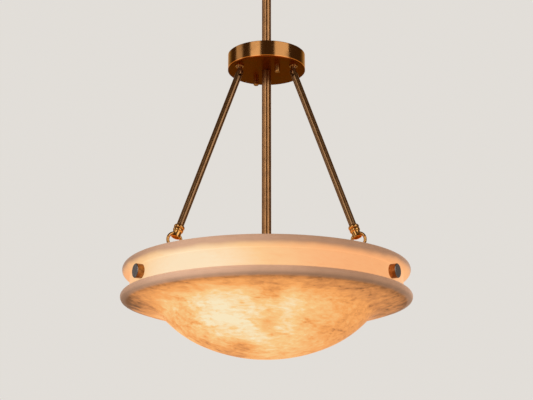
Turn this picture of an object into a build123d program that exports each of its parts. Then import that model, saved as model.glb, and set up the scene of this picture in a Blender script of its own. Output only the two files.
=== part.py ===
"""Bowl pendant: an alabaster bowl hung by three rods from a turned hub on a stem.

The origin is where the pendant meets the ceiling, +Z is up, and the front is -Y.
Lengths are millimetres. Heights of the bowl and its fittings are counted from the
rim plane, the level of the centre of the rim's rounded upper ring.
"""

import os
from math import atan2, cos, degrees, hypot, radians, sin, sqrt

from build123d import *

os.makedirs("parts", exist_ok=True)

# ---------------------------------------------------------------- driving dimensions

# Running and thread clearances, all radial
thread_gap = 0.05
pin_gap = 0.05
seat_gap = 0.3
face_gap = 0.2
stone_gap = 0.1

# The rods hang evenly spaced about Z, from the first one's bearing
rod_sides = ("rear", "left", "right")
rod_count = len(rod_sides)
first_rod = 90.0
rod_bearings = {side: first_rod + turn * 360 / rod_count for turn, side in enumerate(rod_sides)}

# Ceiling fixing
strap_length = 128.0
strap_width = 22.0
strap_thickness = 3.0
strap_wire_hole_radius = 7.0
slot_spacing = 70.0
slot_length = 14.0
slot_radius = 2.5
ground_screw_x = 48.5
ground_screw_radius = 2.0
ground_head_radius = 3.8
ground_head_height = 2.4
screw_slot_width = 1.0
screw_slot_depth = 1.0

# Canopy and the studs that hold it up
canopy_radius = 70.8
canopy_height = 28.0
canopy_wall = 1.5
canopy_edge_radius = 2.0
canopy_stud_x = 56.0
canopy_stud_radius = 2.0
canopy_nut_radius = 4.8
canopy_nut_length = 11.0

# Swivel that lets the stem hang plumb
ball_radius = 15.0
ball_centre_z = -20.0
liner_thickness = 1.4
socket_wall = 4.0
socket_flange_radius = 24.0
socket_flange_thickness = 3.5
socket_mouth_radius = 13.2
socket_lip = 1.8
socket_screw_x = 19.0
socket_screw_radius = 2.0
socket_head_radius = 3.4
socket_head_height = 2.6

# Stems and the threaded nipples that join them
stem_radius = 8.5
stem_bore = 6.5
nipple_radius = 5.0
nipple_bore = 3.5
thread_depth = 12.0
stem_bevel = 0.4
stem_top_z = -39.5
stem_below_canopy = 152.4

# Hub
hub_overhang = 14.4
hub_height = 31.4
hub_top_thickness = 2.5
hub_wall = 2.0
hub_bevel = 0.8
cover_thickness = 2.5
spider_gap = 4.8
spider_thickness = 4.0
spider_drop = 15.6
spider_wire_hole_radius = 6.0
spider_wire_hole_reach = 30.0
lock_nut_size = 8.0
lock_nut_height = 5.0
cover_stud_reach = 38.6
cover_stud_bearing = 300.0
cover_stud_radius = 2.0
cap_nut_radius = 4.7
cap_nut_length = 15.0
terminal_length = 30.0
terminal_depth = 15.0
terminal_height = 11.0
terminal_reach = 26.0
terminal_bevel = 0.8
terminal_ways = 3
terminal_hole_radius = 2.0

# Suspension rods and their pivots
rod_radius = 6.35
rod_top_reach = 56.4
pivot_drop = 14.0
stub_radius = 5.0
stub_rise = 6.0
ferrule_radius = 7.7
ferrule_height = 2.6
tongue_thickness = 4.0
tongue_length = 7.5
fork_slot = 4.6
fork_slot_length = 8.0
fork_overrun = 5.5
pivot_pin_radius = 1.6

# Rod-end fitting, measured along the rod from its cross hole
tip_back = 16.0
tip_front = 7.0
tip_body_radius = 7.6
tip_waist_depth = 0.2
tip_collar_wall = 1.0
tip_bead_radius = 9.4
tip_small_bead_radius = 9.0
tip_valley_rise = 0.4
tip_bell_radius = 8.1
tip_bell_bore = 6.0
tip_bell_depth = 3.0
tip_wall_below_rod = 6.5

# Hanging rings, and the bracket eyes they pass through
ring_set_in = 46.3
ring_height = 37.6
ring_radius = 12.3
ring_wire_radius = 2.65
ring_split = 0.6
eye_radius = 6.5
eye_wire_radius = 2.5
eye_play = 0.95

# Alabaster bowl
drop_to_rim = 379.2
bowl_wall = 12.0
rim_radius = 251.6
rim_ring_radius = 10.1
rim_inner_fillet = 4.0
neck_set_in = 13.3
lip_overhang = 2.4
lip_ring_radius = 7.1
lip_drop = 47.65
brim_slope = 20.5
brim_inner_slope = 11.1
brim_arc_radius = 290.0
waist_slope = 45.9
waist_arc_radius = 50.0
flank_slope = 23.5
flank_arc_radius = 200.0
bowl_inner_fillet = 6.0

# What holds each bracket to the neck of the bowl
bolt_drop = 23.0
bolt_radius = 4.0
bolt_hole_radius = 4.6
knob_radius = 12.2
knob_reach = 12.9
knob_bevel = 1.0
knob_thread_depth = 9.0
washer_radius = 10.6
washer_thickness = 1.0
pad_width = 26.0
pad_height = 30.0
pad_thickness = 1.2
foot_width = 24.0
foot_height = 28.0
foot_thickness = 4.0
arm_width = 12.0
arm_thickness = 4.5
foot_nut_size = 6.8
foot_nut_height = 6.0

# Lamp cluster inside the bowl
cluster_drop = 48.0
cluster_radius = 21.0
cluster_height = 44.0
cluster_wall = 2.0
cluster_lid_thickness = 2.0
cluster_bearings = {"front": 240.0, "right": 0.0, "rear": 120.0}
arm_nipple_length = 20.0
socket_start = 31.0
socket_boss_radius = 8.5
socket_boss_length = 7.0
socket_radius = 19.5
socket_length = 38.0
socket_floor = 8.7
socket_mouth_fillet = 1.0
lamp_cap_radius = 13.15
lamp_cap_length = 24.0
lamp_cap_gap = 0.15
lamp_cap_end_gap = 0.3
lamp_neck_radius = 12.9
lamp_neck_length = 6.5
lamp_length = 106.0
lamp_globe_radius = 30.0
lamp_swell_angle = 140.0
finial_radius = 9.5
finial_flange = 2.0
finial_groove_radius = 6.6
finial_knob_radius = 7.6
finial_groove_end = 25.0
finial_length = 18.0

# ---------------------------------------------------------------- derived places

strap_bottom = -strap_thickness
canopy_floor = -canopy_height
hub_top = canopy_floor - stem_below_canopy
hub_under = hub_top - hub_height
cover_top = hub_under + cover_thickness
rim_z = hub_under - drop_to_rim
hub_radius = rod_top_reach + hub_overhang
spider_radius = hub_radius - hub_wall - spider_gap
spider_top = hub_top - spider_drop
spider_bottom = spider_top - spider_thickness
neck_radius = rim_radius - neck_set_in
neck_inner = neck_radius - bowl_wall
lip_reach = rim_radius + lip_overhang
ring_reach = neck_inner - ring_set_in
bolt_z = rim_z - bolt_drop
cluster_z = rim_z - cluster_drop
cluster_top = cluster_z + cluster_height / 2
cluster_bottom = cluster_z - cluster_height / 2

# In the vertical plane of one rod, x runs outwards from the stem and y runs up
pivot = Vector(rod_top_reach, hub_under - pivot_drop)
ring_centre = Vector(ring_reach, rim_z + ring_height)
rod_way = (ring_centre - pivot).normalized()
cross_way = Vector(-rod_way.Y, rod_way.X)
cross_hole = ring_centre - rod_way * ring_radius
ring_bottom = ring_centre + rod_way * ring_radius
eye_centre = ring_bottom + rod_way * (eye_radius - eye_wire_radius - ring_wire_radius - eye_play)


def upright(point):
    """Puts a point of the rod's plane at bearing zero into space."""
    return Vector(point.X, 0, point.Y)


def along(start, way):
    """A plane at a point of the rod's plane whose normal runs that way."""
    return Plane(origin=upright(start), x_dir=(0, 1, 0), z_dir=upright(way))


def radial(height, reach=0.0, bearing=0.0):
    """A plane that faces outwards from the stem at a height, reach and bearing."""
    out = Vector(cos(radians(bearing)), sin(radians(bearing)), 0)
    spot = out * reach + Vector(0, 0, height)
    return Plane(origin=spot, x_dir=(-out.Y, out.X, 0), z_dir=out)


def save(part, name):
    """Labels a finished piece and writes it."""
    part.label = name
    export_step(part, f"parts/{name}.step")


def save_turned(piece, name, bearings=None):
    """Writes one copy of a piece for each rod or lamp, turned to its bearing."""
    for side, bearing in (bearings or rod_bearings).items():
        save(piece.part.rotate(Axis.Z, bearing), f"{name}_{side}")


# ---------------------------------------------------------------- ceiling fixing

with BuildPart() as ceiling_crossbar:
    with BuildSketch(Plane.XY.offset(strap_bottom)):
        SlotOverall(strap_length, strap_width)
        Circle(strap_wire_hole_radius, mode=Mode.SUBTRACT)
        with GridLocations(slot_spacing, 0, 2, 1):
            SlotOverall(slot_length, 2 * slot_radius, mode=Mode.SUBTRACT)
        with GridLocations(2 * canopy_stud_x, 0, 2, 1):
            Circle(canopy_stud_radius + thread_gap, mode=Mode.SUBTRACT)
        with GridLocations(2 * socket_screw_x, 0, 2, 1):
            Circle(socket_screw_radius + thread_gap, mode=Mode.SUBTRACT)
        with Locations((ground_screw_x, 0)):
            Circle(ground_screw_radius + thread_gap, mode=Mode.SUBTRACT)
    extrude(amount=strap_thickness)
save(ceiling_crossbar.part, "ceiling_crossbar")

with BuildPart() as ground_screw:
    with BuildSketch(Plane.XY.offset(strap_bottom)):
        with Locations((ground_screw_x, 0)):
            Circle(ground_head_radius)
    extrude(amount=-ground_head_height)
    fillet(ground_screw.edges().group_by(Axis.Z)[0], ground_head_height / 3)
    with BuildSketch(Plane.XY.offset(strap_bottom)):
        with Locations((ground_screw_x, 0)):
            Circle(ground_screw_radius)
    extrude(amount=strap_thickness)
    with BuildSketch(Plane.XY.offset(strap_bottom - ground_head_height)):
        with Locations((ground_screw_x, 0)):
            Rectangle(2 * ground_head_radius, screw_slot_width)
    extrude(amount=screw_slot_depth, mode=Mode.SUBTRACT)
save(ground_screw.part, "ground_screw")

# Two studs hang from the strap and pass through the canopy floor into the cap nuts
canopy_stud_length = canopy_height + canopy_nut_length / 2
with BuildPart() as canopy_studs:
    with BuildSketch(Plane.XY):
        with GridLocations(2 * canopy_stud_x, 0, 2, 1):
            Circle(canopy_stud_radius)
    extrude(amount=-canopy_stud_length)
save(canopy_studs.part, "canopy_studs")

socket_outer = ball_radius + 2 * seat_gap + liner_thickness + socket_wall
with BuildPart() as canopy:
    with BuildSketch():
        Circle(canopy_radius)
    extrude(amount=-canopy_height)
    fillet(canopy.edges().group_by(Axis.Z)[0], canopy_edge_radius)
    with BuildSketch():
        Circle(canopy_radius - canopy_wall)
    extrude(amount=canopy_wall - canopy_height, mode=Mode.SUBTRACT)
    with BuildSketch(Plane.XY.offset(canopy_floor)):
        Circle(socket_outer + face_gap)
        with GridLocations(2 * canopy_stud_x, 0, 2, 1):
            Circle(canopy_stud_radius + face_gap)
    extrude(amount=canopy_wall, mode=Mode.SUBTRACT)
save(canopy.part, "canopy")

with BuildPart() as canopy_nuts:
    with BuildSketch(Plane.XY.offset(canopy_floor)):
        with GridLocations(2 * canopy_stud_x, 0, 2, 1):
            Circle(canopy_nut_radius)
    extrude(amount=-canopy_nut_length)
    fillet(canopy_nuts.edges().group_by(Axis.Z)[0], canopy_nut_radius / 3)
    with BuildSketch(Plane.XY.offset(canopy_floor)):
        with GridLocations(2 * canopy_stud_x, 0, 2, 1):
            Circle(canopy_stud_radius + thread_gap)
    extrude(amount=-(canopy_stud_length - canopy_height), mode=Mode.SUBTRACT)
save(canopy_nuts.part, "canopy_nuts")

# ---------------------------------------------------------------- swivel

liner_inner = ball_radius + seat_gap
liner_outer = liner_inner + liner_thickness
seat_radius = liner_outer + seat_gap
mouth_depth = sqrt(seat_radius**2 - socket_mouth_radius**2)
socket_bottom = ball_centre_z - mouth_depth - socket_lip
flange_bottom = strap_bottom - socket_flange_thickness

with BuildPart() as swivel_socket:
    with BuildSketch(Plane.XY.offset(strap_bottom)):
        Circle(socket_flange_radius)
    extrude(amount=-socket_flange_thickness)
    with BuildSketch(Plane.XY.offset(strap_bottom)):
        Circle(socket_outer)
    extrude(amount=socket_bottom - strap_bottom)
    chamfer(swivel_socket.edges().group_by(Axis.Z)[0], socket_wall / 2)
    with BuildSketch(Plane.XY.offset(strap_bottom)):
        Circle(seat_radius)
    extrude(amount=ball_centre_z - strap_bottom, mode=Mode.SUBTRACT)
    with Locations((0, 0, ball_centre_z)):
        Sphere(seat_radius, mode=Mode.SUBTRACT)
    with BuildSketch(Plane.XY.offset(socket_bottom)):
        Circle(socket_mouth_radius)
    extrude(amount=mouth_depth, mode=Mode.SUBTRACT)
    with BuildSketch(Plane.XY.offset(strap_bottom)):
        with GridLocations(2 * socket_screw_x, 0, 2, 1):
            Circle(socket_screw_radius + thread_gap)
    extrude(amount=-socket_flange_thickness, mode=Mode.SUBTRACT)
    with BuildSketch(Plane.XY.offset(flange_bottom)):
        with GridLocations(2 * socket_screw_x, 0, 2, 1):
            Circle(socket_head_radius + face_gap)
    extrude(amount=-(socket_head_height + face_gap), mode=Mode.SUBTRACT)
save(swivel_socket.part, "swivel_socket")

with BuildPart() as swivel_socket_screws:
    with BuildSketch(Plane.XY.offset(flange_bottom)):
        with GridLocations(2 * socket_screw_x, 0, 2, 1):
            Circle(socket_head_radius)
    extrude(amount=-socket_head_height)
    with BuildSketch(Plane.XY.offset(flange_bottom)):
        with GridLocations(2 * socket_screw_x, 0, 2, 1):
            Circle(socket_screw_radius)
    extrude(amount=socket_flange_thickness + strap_thickness)
save(swivel_socket_screws.part, "swivel_socket_screws")

with BuildPart() as swivel_liner:
    with Locations((0, 0, ball_centre_z)):
        Sphere(liner_outer)
        Sphere(liner_inner, mode=Mode.SUBTRACT)
    split(bisect_by=Plane.XY.offset(ball_centre_z), keep=Keep.BOTTOM)
    with BuildSketch(Plane.XY.offset(ball_centre_z)):
        Circle(socket_mouth_radius)
    extrude(amount=-seat_radius, mode=Mode.SUBTRACT)
save(swivel_liner.part, "swivel_liner")

with BuildPart() as swivel_ball:
    with Locations((0, 0, ball_centre_z)):
        Sphere(ball_radius)
        Cylinder(nipple_radius + thread_gap, 2 * ball_radius, mode=Mode.SUBTRACT)
save(swivel_ball.part, "swivel_ball")

# ---------------------------------------------------------------- stems

stem_nipple_top = ball_centre_z + thread_depth / 2
with BuildPart() as stem_nipple:
    with BuildSketch(Plane.XY.offset(stem_nipple_top)):
        Circle(nipple_radius)
        Circle(nipple_bore, mode=Mode.SUBTRACT)
    extrude(amount=stem_top_z - thread_depth - stem_nipple_top)
save(stem_nipple.part, "stem_nipple")

stems = {"upper_stem": (hub_top, stem_top_z), "lower_stem": (cluster_top, hub_under)}
for name, (low, high) in stems.items():
    with BuildPart() as stem:
        with BuildSketch(Plane.XY.offset(low)):
            Circle(stem_radius)
            Circle(nipple_radius + thread_gap, mode=Mode.SUBTRACT)
        extrude(amount=high - low)
        with BuildSketch(Plane.XY.offset(low + thread_depth)):
            Circle(stem_bore)
        extrude(amount=high - low - 2 * thread_depth, mode=Mode.SUBTRACT)
        chamfer(stem.edges().filter_by(GeomType.CIRCLE).sort_by(SortBy.RADIUS)[-2:], stem_bevel)
    save(stem.part, name)

# ---------------------------------------------------------------- hub

hub_nipple_top = hub_top + thread_depth
with BuildPart() as hub_nipple:
    with BuildSketch(Plane.XY.offset(hub_nipple_top)):
        Circle(nipple_radius)
        Circle(nipple_bore, mode=Mode.SUBTRACT)
    extrude(amount=-(hub_height + 2 * thread_depth))
save(hub_nipple.part, "hub_nipple")

with BuildPart() as hub_housing:
    with BuildSketch(Plane.XY.offset(hub_top)):
        Circle(hub_radius)
    extrude(amount=cover_top - hub_top)
    chamfer(hub_housing.edges().group_by(Axis.Z)[-1], hub_bevel)
    with BuildSketch(Plane.XY.offset(cover_top)):
        Circle(hub_radius - hub_wall)
    extrude(amount=hub_top - hub_top_thickness - cover_top, mode=Mode.SUBTRACT)
    with BuildSketch(Plane.XY.offset(hub_top)):
        Circle(nipple_radius + thread_gap)
    extrude(amount=-hub_top_thickness, mode=Mode.SUBTRACT)
save(hub_housing.part, "hub_housing")

with BuildPart() as hub_spider:
    with BuildSketch(Plane.XY.offset(spider_bottom)):
        Circle(spider_radius)
        Circle(nipple_radius + thread_gap, mode=Mode.SUBTRACT)
        with PolarLocations(rod_top_reach, rod_count, start_angle=first_rod):
            Circle(stub_radius + thread_gap, mode=Mode.SUBTRACT)
        with PolarLocations(cover_stud_reach, 2, start_angle=cover_stud_bearing):
            Circle(cover_stud_radius + thread_gap, mode=Mode.SUBTRACT)
        with PolarLocations(spider_wire_hole_reach, rod_count, start_angle=first_rod):
            Circle(spider_wire_hole_radius, mode=Mode.SUBTRACT)
    extrude(amount=spider_thickness)
save(hub_spider.part, "hub_spider")

with BuildPart() as hub_lock_nuts:
    for nut_top in (hub_top - hub_top_thickness, spider_top + lock_nut_height, spider_bottom):
        with BuildSketch(Plane.XY.offset(nut_top)):
            RegularPolygon(lock_nut_size, 6, major_radius=False)
            Circle(nipple_radius + thread_gap, mode=Mode.SUBTRACT)
        extrude(amount=-lock_nut_height)
save(hub_lock_nuts.part, "hub_lock_nuts")

with BuildPart() as hub_cover:
    with BuildSketch(Plane.XY.offset(hub_under)):
        Circle(hub_radius)
        Circle(nipple_radius + thread_gap, mode=Mode.SUBTRACT)
        with PolarLocations(rod_top_reach, rod_count, start_angle=first_rod):
            Circle(stub_radius + face_gap, mode=Mode.SUBTRACT)
        with PolarLocations(cover_stud_reach, 2, start_angle=cover_stud_bearing):
            Circle(cover_stud_radius + face_gap, mode=Mode.SUBTRACT)
    extrude(amount=cover_thickness)
    rim_edges = hub_cover.edges().filter_by(GeomType.CIRCLE).sort_by(SortBy.RADIUS)[-2:]
    chamfer(rim_edges.sort_by(Axis.Z)[0], hub_bevel)
save(hub_cover.part, "hub_cover")

with BuildPart() as hub_cover_studs:
    with BuildSketch(Plane.XY.offset(spider_top)):
        with PolarLocations(cover_stud_reach, 2, start_angle=cover_stud_bearing):
            Circle(cover_stud_radius)
    extrude(amount=hub_under - cap_nut_length / 2 - spider_top)
save(hub_cover_studs.part, "hub_cover_studs")

with BuildPart() as hub_cover_nuts:
    with BuildSketch(Plane.XY.offset(hub_under)):
        with PolarLocations(cover_stud_reach, 2, start_angle=cover_stud_bearing):
            Circle(cap_nut_radius)
    extrude(amount=-cap_nut_length)
    fillet(hub_cover_nuts.edges().group_by(Axis.Z)[0], cap_nut_radius / 3)
    with BuildSketch(Plane.XY.offset(hub_under)):
        with PolarLocations(cover_stud_reach, 2, start_angle=cover_stud_bearing):
            Circle(cover_stud_radius + thread_gap)
    extrude(amount=-cap_nut_length / 2, mode=Mode.SUBTRACT)
save(hub_cover_nuts.part, "hub_cover_nuts")

# Splices between the stem's feed and the lamp leads sit on the spider
with BuildPart() as terminal_block:
    with BuildSketch(Plane.XY.offset(spider_top)):
        with Locations((terminal_reach + terminal_depth / 2, 0)):
            Rectangle(terminal_depth, terminal_length)
    extrude(amount=terminal_height)
    chamfer(terminal_block.edges().filter_by(Axis.Z), terminal_bevel)
    with BuildSketch(Plane.XY.offset(spider_top + terminal_height)):
        with Locations((terminal_reach + terminal_depth / 2, 0)):
            with GridLocations(0, terminal_length / terminal_ways, 1, terminal_ways):
                Circle(terminal_hole_radius)
    extrude(amount=-terminal_height / 2, mode=Mode.SUBTRACT)
save(terminal_block.part, "terminal_block")

# ---------------------------------------------------------------- rod pivots at the hub

with BuildPart() as rod_ferrules:
    with BuildSketch(Plane.XY.offset(hub_under)):
        with PolarLocations(rod_top_reach, rod_count, start_angle=first_rod):
            Circle(ferrule_radius)
            Circle(stub_radius + thread_gap, mode=Mode.SUBTRACT)
    extrude(amount=-ferrule_height)
    outer_edges = rod_ferrules.edges().group_by(Axis.Z)[0].group_by(SortBy.RADIUS)[-1]
    fillet(outer_edges, ferrule_height / 3)
save(rod_ferrules.part, "rod_ferrules")

with BuildPart() as rod_stub_nuts:
    for nut_top in (spider_top + lock_nut_height, spider_bottom):
        with BuildSketch(Plane.XY.offset(nut_top)):
            with PolarLocations(rod_top_reach, rod_count, start_angle=first_rod):
                RegularPolygon(lock_nut_size, 6, major_radius=False)
                Circle(stub_radius + thread_gap, mode=Mode.SUBTRACT)
        extrude(amount=-lock_nut_height)
save(rod_stub_nuts.part, "rod_stub_nuts")

# The stub ends in a flat tongue whose pin lies square to the rod
tongue_side = (stub_radius + rod_radius) * 2
pin_plane = along(pivot, cross_way)
stub_top = spider_top + stub_rise
with BuildPart() as rod_stub:
    with BuildSketch(Plane.XY.offset(stub_top)):
        with Locations((pivot.X, 0)):
            Circle(stub_radius)
    extrude(amount=pivot.Y - stub_top)
    with Locations(upright(pivot)):
        Sphere(stub_radius)
    for side in (1, -1):
        with BuildSketch(pin_plane.offset(side * tongue_thickness / 2)):
            Circle(tongue_length)
        extrude(amount=side * tongue_side, mode=Mode.SUBTRACT)
    with BuildSketch(pin_plane.offset(-rod_radius)):
        Circle(pivot_pin_radius + pin_gap)
    extrude(amount=2 * rod_radius, mode=Mode.SUBTRACT)

with BuildPart() as rod_stubs:
    for bearing in rod_bearings.values():
        add(rod_stub.part.rotate(Axis.Z, bearing))
save(rod_stubs.part, "rod_stubs")

# ---------------------------------------------------------------- suspension rods

rod_end = cross_hole - rod_way * tip_wall_below_rod
rod_length = (rod_end - pivot).length
with BuildPart() as suspension_rod:
    with BuildSketch(along(pivot, rod_way)):
        Circle(rod_radius)
    extrude(amount=rod_length)
    with BuildSketch(along(pivot, rod_way)):
        Circle(rod_radius)
    extrude(amount=-fork_overrun)
    chamfer(suspension_rod.edges().sort_by(Axis.Z)[-1], rod_radius / 4)
    with BuildSketch(pin_plane.offset(-fork_slot / 2)):
        with Locations((0, fork_slot_length / 2 - fork_overrun)):
            Rectangle(3 * rod_radius, 2 * fork_slot_length)
    extrude(amount=fork_slot, mode=Mode.SUBTRACT)
    with BuildSketch(pin_plane.offset(-rod_radius)):
        Circle(pivot_pin_radius + pin_gap)
    extrude(amount=2 * rod_radius, mode=Mode.SUBTRACT)
save_turned(suspension_rod, "suspension_rod")

pin_length = 2 * sqrt(rod_radius**2 - pivot_pin_radius**2)
with BuildPart() as pivot_pin:
    with BuildSketch(pin_plane.offset(-pin_length / 2)):
        Circle(pivot_pin_radius)
    extrude(amount=pin_length)
save_turned(pivot_pin, "rod_pin")

# The fitting is turned about the rod's line: two beads, a body and an open bell
bead_width = (tip_back - tip_wall_below_rod / 2) / 2
first_bead = -tip_back + bead_width / 2
second_bead = first_bead + bead_width
body_start = second_bead + bead_width / 2
tip_plane = Plane(origin=upright(cross_hole), x_dir=upright(cross_way), z_dir=(0, -1, 0))
with BuildPart() as rod_tip:
    with BuildSketch(tip_plane):
        with BuildLine():
            edge_1 = Line((0, tip_back), (rod_radius + tip_collar_wall, tip_back))
            bead_1 = ThreePointArc(
                edge_1 @ 1,
                (tip_bead_radius, -first_bead),
                (tip_body_radius + tip_valley_rise, -first_bead - bead_width / 2),
            )
            bead_2 = ThreePointArc(
                bead_1 @ 1,
                (tip_small_bead_radius, -second_bead),
                (tip_body_radius, -body_start),
            )
            body = ThreePointArc(
                bead_2 @ 1,
                (tip_body_radius - tip_waist_depth, (-body_start - tip_front) / 2),
                (tip_bell_radius, -tip_front),
            )
            Polyline(body @ 1, (0, -tip_front), (0, tip_back))
        make_face()
    revolve(axis=Axis(upright(cross_hole), upright(rod_way)))
    with BuildSketch(along(cross_hole - rod_way * tip_back, rod_way)):
        Circle(rod_radius + thread_gap)
    extrude(amount=tip_back - tip_wall_below_rod, mode=Mode.SUBTRACT)
    with BuildSketch(along(cross_hole + rod_way * tip_front, rod_way)):
        Circle(tip_bell_bore)
    extrude(amount=-tip_bell_depth, mode=Mode.SUBTRACT)
    with Locations(Plane(origin=upright(ring_centre), x_dir=(1, 0, 0), z_dir=(0, -1, 0))):
        Torus(ring_radius, ring_wire_radius + seat_gap, mode=Mode.SUBTRACT)
save_turned(rod_tip, "rod_tip")

# A split ring, its gap turned away from the fitting and the eye
with BuildPart() as hanging_ring:
    with Locations(Plane(origin=upright(ring_centre), x_dir=(1, 0, 0), z_dir=(0, -1, 0))):
        Torus(ring_radius, ring_wire_radius)
    with BuildSketch(along(ring_centre, cross_way)):
        Rectangle(3 * ring_wire_radius, ring_split)
    extrude(amount=2 * ring_radius, mode=Mode.SUBTRACT)
save_turned(hanging_ring, "hanging_ring")

# ---------------------------------------------------------------- alabaster bowl


def inward(arc, wall):
    """Start, direction and radius of the arc one wall inside another, with the same centre."""
    way = arc % 0
    start = arc @ 0 + Vector(way.Y, -way.X) * wall
    return start, way, hypot(start.X - arc.arc_center.X, start.Y - arc.arc_center.Y)


def neck_circles(bowl):
    """The circles at the two ends of the neck's straight inside, lowest first."""
    circles = bowl.edges().filter_by(GeomType.CIRCLE)
    return circles.filter_by(lambda edge: abs(edge.radius - neck_inner) < stone_gap).sort_by(Axis.Z)


half_turn = 180.0
brim_turn = brim_inner_slope - brim_slope
waist_turn = waist_slope - brim_inner_slope
flank_turn = flank_slope - waist_slope
with BuildPart() as alabaster_bowl:
    # Outside, from the neck round the lip and under the brim to the bottom
    with BuildSketch(Plane.XZ):
        with BuildLine():
            lip_centre = lip_reach - lip_ring_radius
            lip_top = rim_z - lip_drop + lip_ring_radius
            lip = JernArc((lip_centre, lip_top), (1, 0), lip_ring_radius, brim_slope - half_turn)
            brim = JernArc(lip @ 1, lip % 1, brim_arc_radius, brim_turn)
            waist = JernArc(brim @ 1, brim % 1, waist_arc_radius, waist_turn)
            flank = JernArc(waist @ 1, waist % 1, flank_arc_radius, flank_turn)
            base_radius = (flank @ 1).X / sin(radians(flank_slope))
            base = JernArc(flank @ 1, flank % 1, base_radius, -flank_slope)
            Polyline(base @ 1, (0, lip_top), (lip_centre, lip_top))
        make_face()
        with Locations((0, lip_top)):
            Rectangle(neck_radius, rim_z - lip_top, align=(Align.MIN, Align.MIN))
        with Locations((0, rim_z)):
            rim_width = rim_radius - rim_ring_radius
            Rectangle(rim_width, 2 * rim_ring_radius, align=(Align.MIN, Align.CENTER))
        with Locations((rim_width, rim_z)):
            Circle(rim_ring_radius)
    revolve(axis=Axis.Z)

    # Inside, one wall in from the outside and cut straight at the neck
    with BuildSketch(Plane.XZ):
        with BuildLine():
            inner_brim = JernArc(*inward(brim, bowl_wall), brim_turn)
            JernArc(*inward(waist, bowl_wall), waist_turn)
            JernArc(*inward(flank, bowl_wall), flank_turn)
            inner_base = JernArc(*inward(base, bowl_wall), -flank_slope)
            over_rim = rim_z + 2 * rim_ring_radius
            Polyline(
                inner_base @ 1,
                (0, over_rim),
                ((inner_brim @ 0).X, over_rim),
                inner_brim @ 0,
            )
        make_face()
        with Locations((0, over_rim)):
            Rectangle(neck_inner, -over_rim, align=(Align.MIN, Align.MAX), mode=Mode.INTERSECT)
    revolve(axis=Axis.Z, mode=Mode.SUBTRACT)
    fillet(neck_circles(alabaster_bowl)[-1], rim_inner_fillet)
    fillet(neck_circles(alabaster_bowl)[0], bowl_inner_fillet)
    for bearing in rod_bearings.values():
        with BuildSketch(radial(bolt_z, neck_inner - bowl_wall, bearing)):
            Circle(bolt_hole_radius)
        extrude(amount=3 * bowl_wall, mode=Mode.SUBTRACT)
save(alabaster_bowl.part, "alabaster_bowl")

# ---------------------------------------------------------------- brackets and knobs

pad_inner = neck_inner - pad_thickness
foot_inner = pad_inner - foot_thickness
washer_flat = neck_radius + washer_thickness
knob_face = neck_radius + knob_reach

with BuildPart() as bowl_bracket:
    with BuildSketch(radial(bolt_z, foot_inner)):
        RectangleRounded(foot_width, foot_height, foot_thickness)
    extrude(amount=foot_thickness)
    with BuildSketch(Plane.XZ):
        arm_start = Vector(pad_inner - arm_thickness / 2, bolt_z + foot_height / 2 - arm_thickness)
        arm_end = eye_centre + rod_way * eye_radius
        arm_way = (arm_end - arm_start).normalized()
        arm_side = Vector(-arm_way.Y, arm_way.X) * (arm_thickness / 2)
        with BuildLine():
            Polyline(
                arm_start + arm_side,
                arm_end + arm_side,
                arm_end - arm_side,
                arm_start - arm_side,
                close=True,
            )
        make_face()
    extrude(amount=arm_width / 2, both=True)
    with Locations(along(eye_centre, cross_way)):
        Torus(eye_radius, eye_wire_radius)
    with BuildSketch(radial(bolt_z, pad_inner)):
        Rectangle(foot_width, 4 * foot_height)
    extrude(amount=bowl_wall, mode=Mode.SUBTRACT)
    with BuildSketch(along(eye_centre, cross_way)):
        Circle(eye_radius - eye_wire_radius)
    extrude(amount=arm_width, both=True, mode=Mode.SUBTRACT)
    with BuildSketch(radial(bolt_z, foot_inner)):
        Circle(bolt_radius + face_gap)
    extrude(amount=foot_thickness, mode=Mode.SUBTRACT)
save_turned(bowl_bracket, "bowl_bracket")

with BuildPart() as bracket_pads:
    for bearing in rod_bearings.values():
        with BuildSketch(radial(bolt_z, pad_inner, bearing)):
            RectangleRounded(pad_width, pad_height, foot_thickness)
            Circle(bolt_hole_radius, mode=Mode.SUBTRACT)
        extrude(amount=2 * pad_thickness)
    with BuildSketch(Plane.XY.offset(bolt_z - pad_height)):
        Circle(neck_inner - stone_gap)
    extrude(amount=2 * pad_height, mode=Mode.INTERSECT)
save(bracket_pads.part, "bracket_pads")

bolt_inner = foot_inner - foot_nut_height - bolt_radius / 2
bolt_outer = knob_face - (knob_reach - knob_thread_depth)
with BuildPart() as knob_bolts:
    for bearing in rod_bearings.values():
        with BuildSketch(radial(bolt_z, bolt_inner, bearing)):
            Circle(bolt_radius)
        extrude(amount=bolt_outer - bolt_inner)
save(knob_bolts.part, "knob_bolts")

with BuildPart() as bracket_nuts:
    for bearing in rod_bearings.values():
        with BuildSketch(radial(bolt_z, foot_inner, bearing)):
            RegularPolygon(foot_nut_size, 6, major_radius=False)
            Circle(bolt_radius + thread_gap, mode=Mode.SUBTRACT)
        extrude(amount=-foot_nut_height)
save(bracket_nuts.part, "bracket_nuts")

with BuildPart() as knob_washers:
    for bearing in rod_bearings.values():
        with BuildSketch(radial(bolt_z, neck_radius - washer_thickness, bearing)):
            Circle(washer_radius)
            Circle(bolt_hole_radius, mode=Mode.SUBTRACT)
        extrude(amount=2 * washer_thickness)
    with BuildSketch(Plane.XY.offset(bolt_z - 2 * washer_radius)):
        Circle(neck_radius + stone_gap)
    extrude(amount=4 * washer_radius, mode=Mode.SUBTRACT)
save(knob_washers.part, "knob_washers")

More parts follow.
